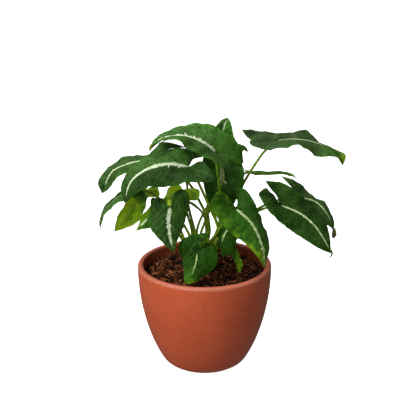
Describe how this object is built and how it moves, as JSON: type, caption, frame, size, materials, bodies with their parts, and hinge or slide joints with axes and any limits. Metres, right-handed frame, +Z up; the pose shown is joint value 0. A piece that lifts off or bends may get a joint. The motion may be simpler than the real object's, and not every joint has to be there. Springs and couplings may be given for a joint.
{
  "type": "potted arrowhead plant",
  "caption": "Leafy houseplant with velvety dark green arrowhead leaves, silver midribs and a clump of thin stems in a rounded clay-red pot of soil; stands on a flat foot",
  "frame": {"origin": "centre of the pot's flat foot, on the surface it stands on", "axes": "+Z up along the pot's axis; the picture looks along +Y, with +X to its right"},
  "size_m": [0.2425, 0.1432, 0.2538],
  "materials": {
    "clay": "matte",
    "peat": "matte",
    "stem": "satin",
    "blade": "matte"
  },
  "bodies": {
    "root": {"pot": "clay", "soil": "peat", "stems": "stem", "leaf_01": "blade", "leaf_02": "blade", "leaf_03": "blade", "leaf_04": "blade", "leaf_05": "blade", "leaf_06": "blade", "leaf_07": "blade", "leaf_08": "blade", "leaf_09": "blade", "leaf_10": "blade", "leaf_11": "blade", "leaf_12": "blade", "leaf_13": "blade", "leaf_14": "blade", "leaf_15": "blade", "leaf_16": "blade", "leaf_17": "blade", "leaf_18": "blade", "leaf_19": "blade", "leaf_20": "blade", "leaf_21": "blade"}
  },
  "joints": []
}
